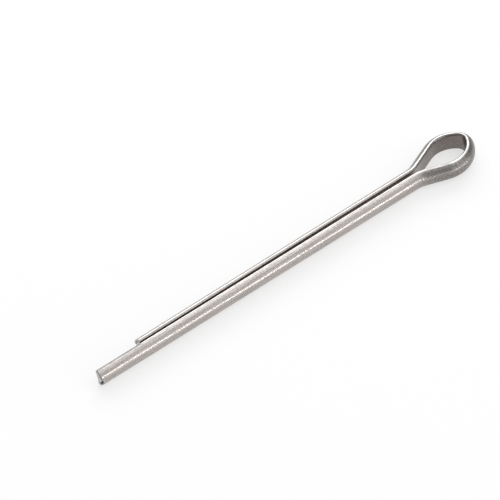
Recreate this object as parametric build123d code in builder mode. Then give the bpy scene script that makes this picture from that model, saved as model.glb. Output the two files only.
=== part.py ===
from build123d import *
from math import acos, atan2, cos, degrees, pi, radians, sin, sqrt, tan
import os

os.makedirs("parts", exist_ok=True)

# A cotter pin folded from one length of half-round wire. Two legs lie with their flat
# sides facing each other and together make a round shank, and the wire between them
# is bent into a teardrop eye. The pin lies on its side, with the eye level.
# Millimetres. The origin is on the shank's axis where the legs leave the eye.
# +X runs along the shank to the tips, +Y is the side of the long leg, +Z is up.

# Wire
SHANK_DIAMETER = 4.5
WIRE_CORNER_RADIUS = 0.42

# Legs, from the neck of the eye to the tips
SHORT_LEG_LENGTH = 74.3
PRONG_EXTENSION = 11.8
NECK_GAP = 0.72
TIP_GAP = 0.32

# Eye, on the flat inner face of the wire
EYE_REACH = 14.0
EYE_LEAN = 1.1
EYE_END_RADIUS = 1.65
LONG_SIDE_SHOULDER_RADIUS = 6.5
LONG_SIDE_SHOULDER_START = 29.0
SHORT_SIDE_SHOULDER_RADIUS = 5.8
SHORT_SIDE_SHOULDER_START = 46.0
LONG_SIDE_NECK_RADIUS = 7.6
SHORT_SIDE_NECK_RADIUS = 6.5
TIGHTEST_NECK_SHARE = 0.9

# Sheared ends
ROLLOVER_WIDTH = 0.35
ROLLOVER_LENGTH = 0.25
SHEAR_STEP = 0.14
LONG_TIP_UPPER_SLANT = 9.0
LONG_TIP_LOWER_SLANT = 2.0
SHORT_TIP_UPPER_SLANT = 7.0
SHORT_TIP_LOWER_SLANT = 3.0
CUTTER_MARGIN = 1.0

# The legs toe in from the neck gap to the tip gap. The wire's round side keeps the
# shank's radius about a centre that lies behind the flat by half of the mean gap.
shank_radius = SHANK_DIAMETER / 2
mean_half_gap = (NECK_GAP + TIP_GAP) / 4
toe_in = degrees(atan2((NECK_GAP - TIP_GAP) / 2, SHORT_LEG_LENGTH))
long_leg_length = SHORT_LEG_LENGTH + PRONG_EXTENSION


def shoulder_centre(shoulder_radius, shoulder_start, lean):
    """Centre of a shoulder arc that runs on smoothly from the arc at the eye's end.
    +Y is outward here, as it is for the two functions below."""
    inset = shoulder_radius - EYE_END_RADIUS
    return Vector(
        -EYE_REACH + inset * cos(radians(shoulder_start)),
        lean - inset * sin(radians(shoulder_start)),
    )


def fitted_neck_radius(neck_radius, shoulder_radius, shoulder_start, lean):
    """The neck's radius. Where the eye is too short for it, the neck bends tighter, so
    that a straight flank is left between the neck and the shoulder."""
    centre = shoulder_centre(shoulder_radius, shoulder_start, lean)
    rise = NECK_GAP / 2 - centre.Y
    room = centre.X**2 + rise**2 - shoulder_radius**2
    touching_radius = room / (2 * (shoulder_radius - rise))
    return min(neck_radius, TIGHTEST_NECK_SHARE * touching_radius)


def flank(neck_radius, shoulder_radius, shoulder_start, lean):
    """Slope and length of the straight flank that touches both the neck arc, which
    bends away from the shank, and the shoulder arc, which bends back round the eye."""
    neck_centre = Vector(
        neck_radius * sin(radians(toe_in)),
        NECK_GAP / 2 + neck_radius * cos(radians(toe_in)),
    )
    across = neck_centre - shoulder_centre(shoulder_radius, shoulder_start, lean)
    reach = neck_radius + shoulder_radius
    normal = atan2(across.Y, across.X) + acos(reach / across.length)
    return degrees(pi / 2 - normal), sqrt(across.length**2 - reach**2)


long_side = (LONG_SIDE_SHOULDER_RADIUS, LONG_SIDE_SHOULDER_START, -EYE_LEAN)
short_side = (SHORT_SIDE_SHOULDER_RADIUS, SHORT_SIDE_SHOULDER_START, EYE_LEAN)
long_neck_radius = fitted_neck_radius(LONG_SIDE_NECK_RADIUS, *long_side)
short_neck_radius = fitted_neck_radius(SHORT_SIDE_NECK_RADIUS, *short_side)
long_slope, long_flank_length = flank(long_neck_radius, *long_side)
short_slope, short_flank_length = flank(short_neck_radius, *short_side)

# Wire path along the flat face: short leg, round the eye, long leg
short_neck = Vector(0, -NECK_GAP / 2)
short_tip = short_neck + Vector(SHORT_LEG_LENGTH, (NECK_GAP - TIP_GAP) / 2)
with BuildLine() as wire_path:
    short_leg = Line(short_tip, short_neck)
    short_neck_bend = JernArc(
        short_leg @ 1, short_leg % 1, short_neck_radius, short_slope - toe_in
    )
    short_flank = PolarLine(
        short_neck_bend @ 1, short_flank_length, direction=short_neck_bend % 1
    )
    short_shoulder = JernArc(
        short_flank @ 1,
        short_flank % 1,
        SHORT_SIDE_SHOULDER_RADIUS,
        -(90 - SHORT_SIDE_SHOULDER_START + short_slope),
    )
    eye_end = JernArc(
        short_shoulder @ 1,
        short_shoulder % 1,
        EYE_END_RADIUS,
        -(SHORT_SIDE_SHOULDER_START + LONG_SIDE_SHOULDER_START),
    )
    long_shoulder = JernArc(
        eye_end @ 1,
        eye_end % 1,
        LONG_SIDE_SHOULDER_RADIUS,
        -(90 - LONG_SIDE_SHOULDER_START + long_slope),
    )
    long_flank = PolarLine(
        long_shoulder @ 1, long_flank_length, direction=long_shoulder % 1
    )
    long_neck_bend = JernArc(
        long_flank @ 1, long_flank % 1, long_neck_radius, long_slope - toe_in
    )
    long_leg = PolarLine(
        long_neck_bend @ 1,
        long_leg_length / cos(radians(toe_in)),
        direction=long_neck_bend % 1,
    )

# Half-round section, square to the wire: local +X is outward from the flat, local Y is up
toward_eye = short_leg % 0
section_plane = Plane(
    origin=short_tip, x_dir=toward_eye.cross(Vector(0, 0, -1)), z_dir=toward_eye
)
with BuildSketch(section_plane) as wire_section:
    with Locations((-mean_half_gap, 0)):
        Circle(shank_radius)
    with Locations((SHANK_DIAMETER / 2, 0)):
        Rectangle(SHANK_DIAMETER, SHANK_DIAMETER, mode=Mode.INTERSECT)
    fillet(wire_section.vertices(), WIRE_CORNER_RADIUS)


def sheared_waste(tip, side, upper_slant, lower_slant):
    """What the shear takes off one leg. The end has an upper and a lower facet with a
    small step between them at mid-height, and each is rolled over on the round side."""
    upper_foot = -shank_radius * tan(radians(upper_slant))
    lower_head = upper_foot - SHEAR_STEP
    lower_foot = lower_head - shank_radius * tan(radians(lower_slant))
    beyond = shank_radius + CUTTER_MARGIN
    axis_y = side * (abs(tip.Y) - mean_half_gap)
    elevation = Plane(origin=(tip.X, 0, 0), x_dir=(1, 0, 0), z_dir=(0, -1, 0))
    with BuildPart() as waste:
        with BuildSketch(elevation):
            with BuildLine():
                Polyline(
                    (0, beyond),
                    (0, shank_radius),
                    (upper_foot, 0),
                    (lower_head, 0),
                    (lower_foot, -shank_radius),
                    (lower_foot, -beyond),
                    (CUTTER_MARGIN, -beyond),
                    (CUTTER_MARGIN, beyond),
                    close=True,
                )
            make_face()
        extrude(amount=-side * beyond)
        for half, start in ((1, 0), (-1, lower_head)):
            centre = Vector(tip.X + start, axis_y, 0)
            with BuildPart(mode=Mode.PRIVATE) as rollover:
                with BuildSketch(Plane(origin=centre, x_dir=(1, 0, 0), z_dir=(0, -1, 0))):
                    with BuildLine():
                        Polyline(
                            (-2 * ROLLOVER_LENGTH, shank_radius + ROLLOVER_WIDTH),
                            (0, shank_radius - ROLLOVER_WIDTH),
                            (CUTTER_MARGIN, shank_radius - ROLLOVER_WIDTH),
                            (CUTTER_MARGIN, shank_radius + ROLLOVER_WIDTH),
                            close=True,
                        )
                    make_face()
                revolve(axis=Axis(centre, (1, 0, 0)))
                with Locations((tip.X, side * beyond / 2, half * beyond / 2)):
                    Box(2 * beyond, beyond, beyond, mode=Mode.INTERSECT)
            add(rollover.part)
    return waste.part


with BuildPart() as cotter_pin:
    sweep(sections=wire_section.sketch, path=wire_path.line)
    add(
        sheared_waste(short_tip, -1, SHORT_TIP_UPPER_SLANT, SHORT_TIP_LOWER_SLANT),
        mode=Mode.SUBTRACT,
    )
    add(
        sheared_waste(long_leg @ 1, 1, LONG_TIP_UPPER_SLANT, LONG_TIP_LOWER_SLANT),
        mode=Mode.SUBTRACT,
    )

cotter_pin.part.label = "cotter_pin"
export_step(cotter_pin.part, "parts/cotter_pin.step")
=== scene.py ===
import math

import bpy
import numpy as np
from mathutils import Matrix, Vector


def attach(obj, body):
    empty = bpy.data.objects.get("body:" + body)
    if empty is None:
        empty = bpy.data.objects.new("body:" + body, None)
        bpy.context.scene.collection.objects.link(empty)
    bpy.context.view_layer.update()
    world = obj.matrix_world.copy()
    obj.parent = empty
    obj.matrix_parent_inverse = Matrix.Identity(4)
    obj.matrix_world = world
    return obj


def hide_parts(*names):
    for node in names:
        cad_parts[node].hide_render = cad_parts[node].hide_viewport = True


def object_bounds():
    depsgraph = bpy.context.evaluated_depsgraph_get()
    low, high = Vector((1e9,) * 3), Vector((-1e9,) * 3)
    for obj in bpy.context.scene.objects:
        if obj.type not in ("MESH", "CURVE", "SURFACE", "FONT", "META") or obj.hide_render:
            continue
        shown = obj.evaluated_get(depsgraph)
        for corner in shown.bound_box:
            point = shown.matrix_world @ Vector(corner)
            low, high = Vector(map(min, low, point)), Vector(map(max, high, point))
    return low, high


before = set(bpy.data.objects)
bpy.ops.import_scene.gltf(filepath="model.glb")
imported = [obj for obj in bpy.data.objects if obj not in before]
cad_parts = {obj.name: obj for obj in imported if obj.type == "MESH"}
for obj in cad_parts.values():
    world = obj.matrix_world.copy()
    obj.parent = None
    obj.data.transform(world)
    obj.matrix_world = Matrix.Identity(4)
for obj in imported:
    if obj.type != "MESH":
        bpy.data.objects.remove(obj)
cad_low, cad_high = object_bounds()

MM = 0.001

# Sizes of the wire, the legs and the eye, in millimetres, as on the CAD part
SHANK_DIAMETER = 4.5
WIRE_CORNER_RADIUS = 0.42
SHORT_LEG_LENGTH = 74.3
PRONG_EXTENSION = 11.8
NECK_GAP = 0.72
TIP_GAP = 0.32
EYE_REACH = 14.0
EYE_LEAN = 1.1
EYE_END_RADIUS = 1.65

# Radii of the shoulder and the neck on each side of the eye, in millimetres, and the
# angle at which the shoulder starts, in degrees
LONG_SIDE = {"shoulder": 6.5, "start": 29.0, "neck": 7.6}
SHORT_SIDE = {"shoulder": 5.8, "start": 46.0, "neck": 6.5}

# Bevel and step of a sheared end, in millimetres
ROLLOVER_WIDTH = 0.35
ROLLOVER_LENGTH = 0.25
SHEAR_STEP = 0.14

# Slants of each tip's upper and lower facet, in degrees, and the seed of its torn line
SHORT_TIP = {"slants": (7.0, 3.0), "seed": 5}
LONG_TIP = {"slants": (9.0, 2.0), "seed": 11}

# The torn line on a sheared end and the grain of the break, drawn here only
TORN_RADIUS = 1.68
TORN_WAVES = 6
TORN_WANDER = 0.05
TORN_DEPTH = 0.22
TORN_WIDTH = 0.11
TORN_START = 0.25
TORN_FADE = 0.3
BREAK_GRAIN = 0.012

# How far the drawn surface lies inside the CAD surface
SKIN = 0.012

# Mesh density, as steps in millimetres and numbers of points. The rings of an end meet
# at a share of the wire's thickness, and path points this close together are one.
ARC_STEP = 0.16
ARC_POINTS = 10
LEG_STEP = 0.8
END_STEP = 0.06
END_REACH = 1.6
FLAT_POINTS = 14
CORNER_POINTS = 11
ROUND_POINTS = 34
CAP_RINGS = 22
CAP_HEART = 0.42
SAME_POINT = 1e-4

# The camera, fitted to the photograph's outline of this pin. Its distance is in metres
# and its angles in degrees. It looks at a point this many millimetres to the left of
# the pin's origin and in front of it.
CAMERA_DISTANCE = 0.9
CAMERA_ELEVATION = 42.61
CAMERA_TURN = 39.86
CAMERA_ROLL = -2.29
CAMERA_AIM = (34.298, 19.573)
PIXELS_PER_MM = 4.8759
PHOTO_WIDTH = 500
SENSOR_WIDTH = 36.0

shank_radius = SHANK_DIAMETER / 2
mean_half_gap = (NECK_GAP + TIP_GAP) / 4
wire_thickness = shank_radius - mean_half_gap
toe_in = math.atan2((NECK_GAP - TIP_GAP) / 2, SHORT_LEG_LENGTH)
long_leg_length = SHORT_LEG_LENGTH + PRONG_EXTENSION


# Wire path

def unit(angle):
    return np.stack([np.cos(angle), np.sin(angle)], -1)


def half_path(side, lean, leg_length):
    """Points on the flat face and their outward normals, from a leg's tip to the
    middle of the eye's end. Drawn with +Y outward."""
    neck, shoulder = side["neck"], side["shoulder"]
    start = math.radians(side["start"])
    leg_normal = math.pi / 2 - toe_in
    neck_centre = np.array([0, NECK_GAP / 2]) + neck * unit(np.array(leg_normal))
    eye_centre = np.array([-EYE_REACH, lean])
    inset = shoulder - EYE_END_RADIUS
    shoulder_centre = eye_centre + inset * np.array([math.cos(start), -math.sin(start)])
    across = neck_centre - shoulder_centre
    flank_normal = math.atan2(across[1], across[0]) + math.acos(
        (neck + shoulder) / np.hypot(*across)
    )
    joint = math.pi - start

    def arc(centre, radius, a, b, bend):
        """Points and outward normals. Bend is 1 round the eye and -1 at the neck."""
        n = max(int(abs(b - a) * radius / ARC_STEP), ARC_POINTS)
        angles = np.linspace(a, b, n)
        return centre + bend * radius * unit(angles), unit(angles)

    legs = np.concatenate(
        [
            np.arange(leg_length, leg_length - END_REACH, -END_STEP),
            np.linspace(leg_length - END_REACH, 0, int(leg_length / LEG_STEP)),
        ]
    )
    along = np.array([math.cos(toe_in), -math.sin(toe_in)])
    leg = np.array([0, NECK_GAP / 2]) + legs[:, None] / math.cos(toe_in) * along
    parts = [
        (leg, np.tile(unit(np.array(leg_normal)), (len(leg), 1))),
        arc(neck_centre, neck, leg_normal, flank_normal, -1),
        arc(shoulder_centre, shoulder, flank_normal, joint, 1),
        arc(eye_centre, EYE_END_RADIUS, joint, math.pi, 1),
    ]
    flank_a, flank_b = parts[1][0][-1], parts[2][0][0]
    steps = np.linspace(0, 1, int(np.hypot(*(flank_b - flank_a)) / (2 * ARC_STEP)))[1:-1]
    flank = flank_a + steps[:, None] * (flank_b - flank_a)
    parts.insert(2, (flank, np.tile(unit(np.array(flank_normal)), (len(flank), 1))))
    points = np.vstack([p for p, n in parts])
    normals = np.vstack([n for p, n in parts])
    keep = np.r_[True, np.hypot(*np.diff(points, axis=0).T) > SAME_POINT]
    return points[keep], normals[keep]


short_tip, long_tip = SHORT_LEG_LENGTH - SKIN, long_leg_length - SKIN
short_points, short_normals = half_path(SHORT_SIDE, EYE_LEAN, short_tip)
long_points, long_normals = half_path(LONG_SIDE, -EYE_LEAN, long_tip)
mirror = np.array([1, -1])
path = np.vstack([short_points * mirror, long_points[::-1][1:]])
outward = np.vstack([short_normals * mirror, long_normals[::-1][1:]])
travel = np.r_[0, np.cumsum(np.hypot(*np.diff(path, axis=0).T))]


# Wire section: outward distance from the flat, height, and the way round it

def section():
    corner = WIRE_CORNER_RADIUS
    centre = -mean_half_gap
    corner_z = math.sqrt((shank_radius - corner) ** 2 - (corner - centre) ** 2)
    corner_angle = math.atan2(corner_z, corner - centre)
    z = np.linspace(0, corner_z, FLAT_POINTS)[:-1]
    round_corner = unit(np.linspace(math.pi, corner_angle, CORNER_POINTS))
    round_side = unit(np.linspace(corner_angle, 0, ROUND_POINTS)[1:])
    upper = np.vstack(
        [
            np.stack([np.zeros_like(z), z], 1),
            np.array([corner, corner_z]) + corner * round_corner,
            np.array([centre, 0]) + shank_radius * round_side,
        ]
    )
    upper[:, 0] *= 1 - SKIN / wire_thickness
    upper[:, 1] *= 1 - SKIN / shank_radius
    lower = (upper * np.array([1, -1]))[::-1][1:-1]
    ring = np.vstack([upper, lower])
    closed = np.vstack([ring, ring[:1]])
    around = np.r_[0, np.cumsum(np.hypot(*np.diff(closed, axis=0).T))]
    return ring, around


ring, around = section()
ring_size = len(ring)
flat_half = around[FLAT_POINTS - 1]
corner_end = around[FLAT_POINTS + CORNER_POINTS - 2]
crown = around[-1] / 2


# Sheared ends

def end_setback(out, height, tip):
    """How far each point of an end lies behind the tip: the two slanted facets, the
    step between them, the bevel rolled over the round side and the torn line in it."""
    rng = np.random.default_rng(tip["seed"])
    upper, lower = (math.tan(math.radians(s)) for s in tip["slants"])
    foot = shank_radius * upper
    facets = np.where(
        height > 0,
        (shank_radius - height) * upper,
        foot + SHEAR_STEP - height * lower,
    )
    radial = np.hypot(out + mean_half_gap, height)
    base = np.where(height > 0, 0, foot + SHEAR_STEP)
    rolled = base + ROLLOVER_LENGTH * (radial - shank_radius + ROLLOVER_WIDTH) / ROLLOVER_WIDTH
    setback = np.maximum(facets, rolled)
    # torn line just inside the bevel, which wanders by waves that grow finer and lower
    angle = np.arctan2(height, out + mean_half_gap)
    phases = rng.uniform(0, 2 * math.pi, TORN_WAVES)
    wander = sum(
        math.pow(0.75, k) * np.sin((3 + 4 * k) * angle + phases[k])
        for k in range(TORN_WAVES)
    )
    line = TORN_RADIUS + TORN_WANDER * wander
    depth = TORN_DEPTH * np.clip(0.75 + 0.35 * wander, 0.15, 1)
    tear = depth * np.exp(-(((radial - line) / TORN_WIDTH) ** 2))
    tear *= np.clip((out - TORN_START) / TORN_FADE, 0, 1)
    # coarse grain of the break
    grain = BREAK_GRAIN * np.sin(13 * height + 5 * out + phases[0]) * np.sin(
        17 * out - 4 * height + phases[1]
    )
    return setback + tear + grain


# Mesh of the wire

def wire_vertex(i, out, height):
    """The place of a section point at path station i, in metres."""
    place = path[i] + outward[i] * out[:, None]
    return np.column_stack([place, height]) * MM


stations = len(path)
vertices = np.stack([wire_vertex(i, ring[:, 0], ring[:, 1]) for i in range(stations)])

# Each end: its station, the step towards the eye, the tip's X and its shape
ends = (
    (0, 1, short_tip, SHORT_TIP),
    (stations - 1, -1, long_tip, LONG_TIP),
)

# The stations next to an end close up behind its slants and bevel
for station, step, tip_x, tip in ends:
    rim = tip_x - end_setback(ring[:, 0], ring[:, 1], tip)
    inner = tip_x - END_REACH
    for k in range(int(END_REACH / END_STEP) + 1):
        i = station + step * k
        share = (vertices[i, :, 0] / MM - inner) / END_REACH
        vertices[i, :, 0] = (inner + np.clip(share, 0, 1) * (rim - inner)) * MM

vertices = vertices.reshape(-1, 3).tolist()
faces, uvs, kinds = [], [], []

# The drawn surface along the wire, with U along it and V round it
for i in range(stations - 1):
    for j in range(ring_size):
        k = (j + 1) % ring_size
        a, b = i * ring_size + j, i * ring_size + k
        c, d = (i + 1) * ring_size + k, (i + 1) * ring_size + j
        faces.append((a, d, c, b))
        kinds.append(0)
        uvs += [
            (travel[i], around[j]),
            (travel[i + 1], around[j]),
            (travel[i + 1], around[j + 1]),
            (travel[i], around[j + 1]),
        ]

# End faces: rings that shrink towards the middle of the half-round, with Y and Z as UV
heart = np.array([wire_thickness * CAP_HEART, 0.0])
shrink = np.linspace(1, 0, CAP_RINGS + 1)
cap_borders = []
for station, step, tip_x, tip in ends:
    previous = [station * ring_size + j for j in range(ring_size)]
    cap_borders.append(set(previous))
    for s in shrink[1:]:
        flat = heart + (ring - heart) * s
        place = wire_vertex(station, flat[:, 0], flat[:, 1])
        place[:, 0] = (tip_x - end_setback(flat[:, 0], flat[:, 1], tip)) * MM
        if s == 0:
            vertices.append(place[0].tolist())
            current = [len(vertices) - 1] * ring_size
        else:
            current = list(range(len(vertices), len(vertices) + ring_size))
            vertices.extend(place.tolist())
        for j in range(ring_size):
            k = (j + 1) % ring_size
            loop = [previous[j], previous[k], current[k], current[j]]
            loop = list(dict.fromkeys(loop[::step]))
            faces.append(tuple(loop))
            kinds.append(1)
            uvs += [(vertices[v][1] / MM, vertices[v][2] / MM) for v in loop]
        previous = current

mesh = bpy.data.meshes.new("cotter_pin_wire")
mesh.from_pydata(vertices, [], faces)
layer = mesh.uv_layers.new(name="wire")
layer.data.foreach_set("uv", np.array(uvs, dtype=np.float32).ravel())
mesh.polygons.foreach_set("use_smooth", [True] * len(faces))
mesh.polygons.foreach_set("material_index", kinds)
for edge in mesh.edges:
    if any(edge.vertices[0] in b and edge.vertices[1] in b for b in cap_borders):
        edge.use_edge_sharp = True
mesh.update()
pin = bpy.data.objects.new("cotter_pin_wire", mesh)
bpy.context.scene.collection.objects.link(pin)


# Materials

class Nodes:
    """Short names for building a node tree."""

    def __init__(self, tree):
        self.tree = tree
        tree.nodes.clear()

    def new(self, kind, **settings):
        node = self.tree.nodes.new(kind)
        for name, value in settings.items():
            setattr(node, name, value)
        return node

    def link(self, a, b):
        self.tree.links.new(a, b)

    def feed(self, socket, value):
        """Give a socket a link, a number or a colour."""
        if isinstance(value, (int, float)):
            socket.default_value = value
        elif isinstance(value, tuple):
            socket.default_value = (*value, 1)
        else:
            self.link(value, socket)

    def math(self, operation, a, b, clamp=False):
        node = self.new("ShaderNodeMath", operation=operation, use_clamp=clamp)
        self.feed(node.inputs[0], a)
        self.feed(node.inputs[1], b)
        return node.outputs[0]

    def add(self, a, b, clamp=False):
        return self.math("ADD", a, b, clamp)

    def times(self, a, b):
        return self.math("MULTIPLY", a, b)

    def apart(self, a, b):
        """The distance between two values."""
        node = self.new("ShaderNodeMath", operation="ABSOLUTE")
        self.link(self.math("SUBTRACT", a, b), node.inputs[0])
        return node.outputs[0]

    def remap(self, value, low, high, to_low=0.0, to_high=1.0):
        node = self.new("ShaderNodeMapRange", interpolation_type="SMOOTHSTEP")
        self.link(value, node.inputs["Value"])
        for name, number in (
            ("From Min", low),
            ("From Max", high),
            ("To Min", to_low),
            ("To Max", to_high),
        ):
            node.inputs[name].default_value = number
        return node.outputs["Result"]

    def noise(self, vector, grain, detail=3.0, roughness=0.55):
        """Noise with so many grains per millimetre along X and Y, moved by an offset."""
        x, y, offset = grain
        place = self.new("ShaderNodeMapping")
        place.inputs["Scale"].default_value = (x, y, 1)
        place.inputs["Location"].default_value = (offset, offset * 0.7, 0)
        self.link(vector, place.inputs["Vector"])
        node = self.new("ShaderNodeTexNoise", noise_dimensions="2D")
        node.inputs["Scale"].default_value = 1.0
        node.inputs["Detail"].default_value = detail
        node.inputs["Roughness"].default_value = roughness
        self.link(place.outputs[0], node.inputs["Vector"])
        return node.outputs["Fac"]

    def mix(self, factor, a, b):
        node = self.new("ShaderNodeMix", data_type="RGBA")
        first, second = (s for s in node.inputs if s.type == "RGBA")
        self.link(factor, node.inputs[0])
        self.feed(first, a)
        self.feed(second, b)
        return next(s for s in node.outputs if s.type == "RGBA")

    def total(self, base, *parts):
        """A base level plus each value times its weight."""
        for value, weight in parts:
            base = self.add(base, self.times(value, weight))
        return base

    def bump(self, height, distance, strength):
        node = self.new("ShaderNodeBump")
        node.inputs["Distance"].default_value = distance
        node.inputs["Strength"].default_value = strength
        self.link(height, node.inputs["Height"])
        return node.outputs[0]


def surface(name):
    """A metal material, its node helper and shader, and the wire's UV, U and V."""
    material = bpy.data.materials.new(name)
    material.use_nodes = True
    n = Nodes(material.node_tree)
    shader = n.new("ShaderNodeBsdfPrincipled")
    shader.inputs["Metallic"].default_value = 1.0
    out = n.new("ShaderNodeOutputMaterial")
    n.link(shader.outputs[0], out.inputs["Surface"])
    wire = n.new("ShaderNodeUVMap", uv_map="wire").outputs[0]
    split = n.new("ShaderNodeSeparateXYZ")
    n.link(wire, split.inputs[0])
    return material, n, shader, wire, split.outputs["X"], split.outputs["Y"]


# Drawn steel wire. U runs along the wire and V round it, both in millimetres, with
# V = 0 on the middle of the flat and the crown half-way round.
LEG_COLOUR = (0.555, 0.513, 0.49)
# painted light: the covered flats are lighter than the steel, so the gap looks less dark
LEG_FLAT_LIGHTENED_COLOUR = (0.82, 0.78, 0.75)
PRONG_FLAT_COLOUR = (0.48, 0.45, 0.43)
# painted shade: a dark line along the edges of the prong's open flat
PRONG_EDGE_SHADE_COLOUR = (0.20, 0.186, 0.176)
# painted shade: round the eye the steel is drawn darker, on the round side and the flats
BEND_SHADED_COLOUR = (0.33, 0.308, 0.294)
BEND_FLAT_SHADED_COLOUR = (0.28, 0.246, 0.231)
# worn steel and a painted highlight along the edges of the narrow corners
WEAR_AND_SHEEN_COLOUR = (0.94, 0.93, 0.915)
DULL_COLOUR = (0.20, 0.185, 0.175)
PIT_COLOUR = (0.12, 0.112, 0.105)

# Grains per millimetre along and round the wire, and an offset
STREAK_GRAIN = (0.09, 3.4, 0.0)
FINE_GRAIN = (2.5, 3.2, 3.1)
PATCH_GRAIN = (0.5, 1.3, 7.7)
PIT_GRAIN = (2.6, 5.0, 11.3)

# The values between which each mark comes in, and its strength at both
STREAK_MARKS = (0.38, 0.64, 0.0, 0.34)
FINE_MARKS = (0.42, 0.60, 0.0, 0.46)
BEND_MARKS = (0.46, 0.60, 0.0, 0.55)
WEAR_AND_SHEEN_PATCHES = (0.30, 0.60, 0.5, 0.9)
WEAR_AND_SHEEN_IN_BEND = (0.0, 1.0, 0.9, 1.1)
PIT_LEVELS = (0.62, 0.72)
PIT_MARKS = 0.5

# What each adds to the roughness, and to the height of the surface
STEEL_ROUGHNESS = 0.12
FINE_ROUGHNESS = 0.24
BEND_ROUGHNESS = 0.08
PIT_ROUGHNESS = 0.15
WEAR_AND_SHEEN_ROUGHNESS = -0.08
STREAK_HEIGHT = 0.3
FINE_HEIGHT = 0.7
PIT_HEIGHT = -0.5

# Lengths on the wire, in millimetres
BEND_FADE_INTO_EYE = 7.0
BEND_FADE_INTO_LEG = 4.9
PRONG_FADE = 0.5
ROUND_TONE_START = 0.95
ROUND_TONE_FULL = 0.65
PRONG_TONE_SHIFT = 0.74
# width of the painted shade along the edges of the prong's open flat
EDGE_SHADE_WIDTH = 0.5
WEAR_AND_SHEEN_CORE = 0.10
WEAR_AND_SHEEN_REACH = 0.30
STEEL_RELIEF = 0.007


def steel():
    material, n, shader, wire, u, v = surface("drawn_steel")
    # bend is 1 round the eye and 0 on the legs, and prong is 1 past the short tip
    half_bend = (travel[-1] - long_leg_length - SHORT_LEG_LENGTH) / 2
    from_eye = n.apart(u, SHORT_LEG_LENGTH + half_bend)
    bend = n.remap(
        from_eye, half_bend - BEND_FADE_INTO_EYE, half_bend + BEND_FADE_INTO_LEG, 1.0, 0.0
    )
    gap_end = half_bend + SHORT_LEG_LENGTH
    prong = n.remap(from_eye, gap_end - PRONG_FADE, gap_end + PRONG_FADE)
    # from_flat is the way round the wire from the middle of its flat. The flat's tone
    # ends where the narrow corner starts, and on the prong where the corner ends.
    from_flat = n.math("SUBTRACT", crown, n.apart(v, crown))
    edge = n.math("SUBTRACT", from_flat, n.times(prong, PRONG_TONE_SHIFT))
    on_round = n.remap(edge, corner_end - ROUND_TONE_START, corner_end - ROUND_TONE_FULL)
    streaks = n.noise(wire, STREAK_GRAIN, detail=5.0, roughness=0.72)
    fine = n.noise(wire, FINE_GRAIN, detail=4.0, roughness=0.8)
    patches = n.noise(wire, PATCH_GRAIN, detail=4.0)
    pits = n.noise(wire, PIT_GRAIN, detail=5.0, roughness=0.75)
    pits = n.remap(pits, *PIT_LEVELS)
    # worn steel and a painted highlight: brighter where the narrow corners meet the round side
    wear_and_sheen = n.remap(n.apart(from_flat, corner_end), WEAR_AND_SHEEN_CORE, WEAR_AND_SHEEN_REACH, 1.0, 0.0)
    wear_and_sheen = n.times(wear_and_sheen, n.remap(patches, *WEAR_AND_SHEEN_PATCHES))
    wear_and_sheen = n.times(n.times(wear_and_sheen, on_round), n.remap(bend, *WEAR_AND_SHEEN_IN_BEND))

    # painted light on the covered flats, drawn lighter than the steel so that the gap between
    # the legs looks less dark, and painted shade along the edges of the prong's open flat
    edge_shade = n.remap(from_flat, flat_half - EDGE_SHADE_WIDTH, flat_half)
    prong_tone = n.mix(edge_shade, PRONG_FLAT_COLOUR, PRONG_EDGE_SHADE_COLOUR)
    # painted shade: round the eye the flats and the round side take darker copies of the steel
    flat_tone = n.mix(prong, n.mix(bend, LEG_FLAT_LIGHTENED_COLOUR, BEND_FLAT_SHADED_COLOUR), prong_tone)
    colour = n.mix(on_round, flat_tone, n.mix(bend, LEG_COLOUR, BEND_SHADED_COLOUR))
    colour = n.mix(n.remap(streaks, *STREAK_MARKS), colour, DULL_COLOUR)
    colour = n.mix(n.remap(fine, *FINE_MARKS), colour, DULL_COLOUR)
    colour = n.mix(n.times(n.remap(fine, *BEND_MARKS), bend), colour, PIT_COLOUR)
    # painted highlight and wear where the narrow corners meet the round side
    colour = n.mix(wear_and_sheen, colour, WEAR_AND_SHEEN_COLOUR)
    colour = n.mix(n.times(pits, PIT_MARKS), colour, PIT_COLOUR)
    n.link(colour, shader.inputs["Base Color"])

    roughness = n.total(
        STEEL_ROUGHNESS,
        (fine, FINE_ROUGHNESS),
        (bend, BEND_ROUGHNESS),
        (pits, PIT_ROUGHNESS),
        (wear_and_sheen, WEAR_AND_SHEEN_ROUGHNESS),
    )
    n.link(roughness, shader.inputs["Roughness"])
    height = n.total(
        0.0, (streaks, STREAK_HEIGHT), (fine, FINE_HEIGHT), (pits, PIT_HEIGHT)
    )
    n.link(n.bump(height, STEEL_RELIEF * MM, 1.0), shader.inputs["Normal"])
    return material


# Steel of the sheared ends. U is the pin's Y and V its Z, both in millimetres.
BREAK_LIGHT_COLOUR = (0.66, 0.65, 0.63)
BREAK_DARK_COLOUR = (0.44, 0.43, 0.41)
SCRATCH_COLOUR = (0.26, 0.25, 0.235)
# painted shade in the torn line of a sheared end
TORN_SHADE_COLOUR = (0.06, 0.055, 0.05)

# Grains per millimetre along Y and Z, and an offset
COARSE_GRAIN = (1.8, 1.1, 2.0)
SCRATCH_GRAIN = (9.0, 1.4, 5.0)
GRIT_GRAIN = (14.0, 14.0, 9.0)

# The values between which each mark comes in, and its strength at both
COARSE_LEVELS = (0.42, 0.64)
SCRATCH_MARKS = (0.55, 0.75, 0.0, 0.6)
TORN_SHADE_BREAKS = (0.15, 0.35)
GRIT_ROUGHNESS = (0.3, 0.7, 0.36, 0.55)
FAINT_TORN_SHADE = 0.15

# What each adds to the height of the surface, and how strongly that shows
SCRATCH_HEIGHT = 0.7
GRIT_HEIGHT = 0.3
BREAK_BUMP = 0.8

# Lengths on the ends, in millimetres
TORN_CORE = 0.12
TORN_REACH = 0.40
LONG_TIP_SHADE_FROM = 0.6
LONG_TIP_SHADE_FULL = 1.1
BREAK_RELIEF = 0.05


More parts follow.
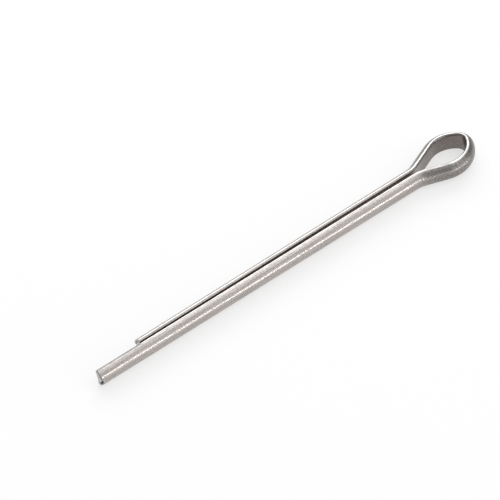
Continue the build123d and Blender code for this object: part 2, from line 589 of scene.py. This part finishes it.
def sheared_steel():
    material, n, shader, wire, y, _ = surface("sheared_steel")
    coarse = n.noise(wire, COARSE_GRAIN, detail=4.0)
    scratch = n.noise(wire, SCRATCH_GRAIN)
    grit = n.noise(wire, GRIT_GRAIN, detail=2.0)
    # painted shade in the torn line: strong on the round side of the long tip, faint elsewhere
    radius = n.new("ShaderNodeVectorMath", operation="LENGTH")
    n.link(wire, radius.inputs[0])
    torn = n.apart(radius.outputs["Value"], TORN_RADIUS)
    torn = n.remap(torn, TORN_CORE, TORN_REACH, 1.0, 0.0)
    torn = n.times(torn, n.remap(coarse, *TORN_SHADE_BREAKS))
    on_long_tip = n.remap(y, LONG_TIP_SHADE_FROM, LONG_TIP_SHADE_FULL, FAINT_TORN_SHADE, 1.0)
    torn = n.times(torn, on_long_tip)
    blotches = n.remap(coarse, *COARSE_LEVELS)
    colour = n.mix(blotches, BREAK_LIGHT_COLOUR, BREAK_DARK_COLOUR)
    colour = n.mix(n.remap(scratch, *SCRATCH_MARKS), colour, SCRATCH_COLOUR)
    colour = n.mix(torn, colour, TORN_SHADE_COLOUR)
    n.link(colour, shader.inputs["Base Color"])
    n.link(n.remap(grit, *GRIT_ROUGHNESS), shader.inputs["Roughness"])
    height = n.total(0.0, (scratch, SCRATCH_HEIGHT), (grit, GRIT_HEIGHT))
    n.link(n.bump(height, BREAK_RELIEF * MM, BREAK_BUMP), shader.inputs["Normal"])
    return material


mesh.materials.append(steel())
mesh.materials.append(sheared_steel())
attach(pin, "root")
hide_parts("cotter_pin")


# Floor. Its size is in metres and its clearance under the pin in millimetres.

FLOOR_SIZE = 6.0
FLOOR_CLEARANCE = 0.02
FLOOR_COLOUR = 0.46
FLOOR_WHITE = 0.62


def pale_floor():
    """Pale paper that keeps the pin's shadow. It glows to the camera, glossy and
    transmission rays only, so that it looks white there and lights nothing else."""
    material = bpy.data.materials.new("pale_floor")
    material.use_nodes = True
    n = Nodes(material.node_tree)
    paper = n.new("ShaderNodeBsdfDiffuse")
    n.feed(paper.inputs["Color"], (FLOOR_COLOUR, FLOOR_COLOUR, FLOOR_COLOUR))
    rays = n.new("ShaderNodeLightPath").outputs
    seen = n.add(rays["Is Camera Ray"], rays["Is Glossy Ray"])
    seen = n.add(seen, rays["Is Transmission Ray"], clamp=True)
    glow = n.new("ShaderNodeEmission")
    n.link(n.times(seen, FLOOR_WHITE), glow.inputs["Strength"])
    both = n.new("ShaderNodeAddShader")
    n.link(paper.outputs[0], both.inputs[0])
    n.link(glow.outputs[0], both.inputs[1])
    out = n.new("ShaderNodeOutputMaterial")
    n.link(both.outputs[0], out.inputs["Surface"])
    return material


floor_z = cad_low.z - FLOOR_CLEARANCE * MM
bpy.ops.mesh.primitive_plane_add(size=FLOOR_SIZE, location=(0, 0, floor_z))
floor = bpy.context.object
floor.name = "floor"
floor.data.materials.append(pale_floor())


# Camera: right, up and forward are first written in axes where the camera looks
# level along +Y from the front, then turned into the pin's own axes.

elevation, turn, roll = (
    math.radians(a) for a in (CAMERA_ELEVATION, CAMERA_TURN, CAMERA_ROLL)
)
pin_x = Vector((-math.cos(turn), -math.sin(turn), 0))
pin_y = Vector((math.sin(turn), -math.cos(turn), 0))


def in_pin_axes(v):
    return Vector((v.dot(pin_x), v.dot(pin_y), v.z))


forward = Vector((0, math.cos(elevation), -math.sin(elevation)))
level_up = Vector((0, math.sin(elevation), math.cos(elevation)))
level_right = Vector((1, 0, 0))
right = math.cos(roll) * level_right + math.sin(roll) * level_up
up = math.cos(roll) * level_up - math.sin(roll) * level_right
forward, right, up = (in_pin_axes(v) for v in (forward, right, up))
aim = in_pin_axes(Vector((-CAMERA_AIM[0], -CAMERA_AIM[1], 0))) * MM

camera = bpy.data.objects.new("camera", bpy.data.cameras.new("camera"))
bpy.context.scene.collection.objects.link(camera)
camera.data.sensor_width = SENSOR_WIDTH
camera.data.lens = SENSOR_WIDTH * PIXELS_PER_MM / MM * CAMERA_DISTANCE / PHOTO_WIDTH
turned = Matrix((right, up, -forward)).transposed().to_4x4()
camera.matrix_world = Matrix.Translation(aim - forward * CAMERA_DISTANCE) @ turned
camera.data.clip_start = 0.05
camera.data.clip_end = 20.0
bpy.context.scene.camera = camera


# Light. Directions are in the camera's level axes: right, back and up.

SOFTBOXES = (
    # name, direction, distance in metres, width and height in metres, brightness
    ("back_softbox", (-0.10, 0.82, 0.56), 1.2, (1.4, 0.60), 1.9),
    ("top_softbox", (0.58, 0.04, 0.81), 1.1, (0.40, 0.40), 0.8),
    ("right_strip", (0.925, -0.36, 0.045), 1.2, (1.4, 0.07), 7.5),
)
ROOM_LIGHT = 0.52
LOBES = (
    # direction, cosine where the light starts, cosine where it is full, brightness
    ((0.35, 0, 0.94), 0.75, 0.95, 0.58),
    ((0.93, -0.25, 0.25), 0.78, 0.94, 0.70),
    ((0, 0.82, 0.57), 0.80, 0.97, 0.60),
)


def softbox(name, toward, distance, size, radiance):
    """A soft rectangular lamp, facing the middle of the pin, of a given brightness."""
    light = bpy.data.lights.new(name, "AREA")
    light.shape = "RECTANGLE"
    light.size, light.size_y = size
    light.energy = radiance * math.pi * size[0] * size[1]
    lamp = bpy.data.objects.new(name, light)
    bpy.context.scene.collection.objects.link(lamp)
    spot = in_pin_axes(Vector(toward).normalized() * distance)
    lamp.location = Vector(((cad_low.x + cad_high.x) / 2, 0, 0)) + spot
    lamp.rotation_mode = "QUATERNION"
    lamp.rotation_quaternion = spot.to_track_quat("Z", "Y")


for lamp_settings in SOFTBOXES:
    softbox(*lamp_settings)

# The room: even and dim, with more light overhead, to the right and at the back
world = bpy.data.worlds.new("studio")
bpy.context.scene.world = world
world.use_nodes = True
n = Nodes(world.node_tree)
direction = n.new("ShaderNodeTexCoord").outputs["Generated"]
level = ROOM_LIGHT
for toward, start, full, brightness in LOBES:
    dot = n.new("ShaderNodeVectorMath", operation="DOT_PRODUCT")
    n.link(direction, dot.inputs[0])
    dot.inputs[1].default_value = in_pin_axes(Vector(toward)).normalized()
    lobe = n.times(n.remap(dot.outputs["Value"], start, full), brightness)
    level = n.add(lobe, level)
background = n.new("ShaderNodeBackground")
n.link(level, background.inputs["Strength"])
out = n.new("ShaderNodeOutputWorld")
n.link(background.outputs[0], out.inputs["Surface"])
bpy.context.scene.view_settings.view_transform = "Standard"
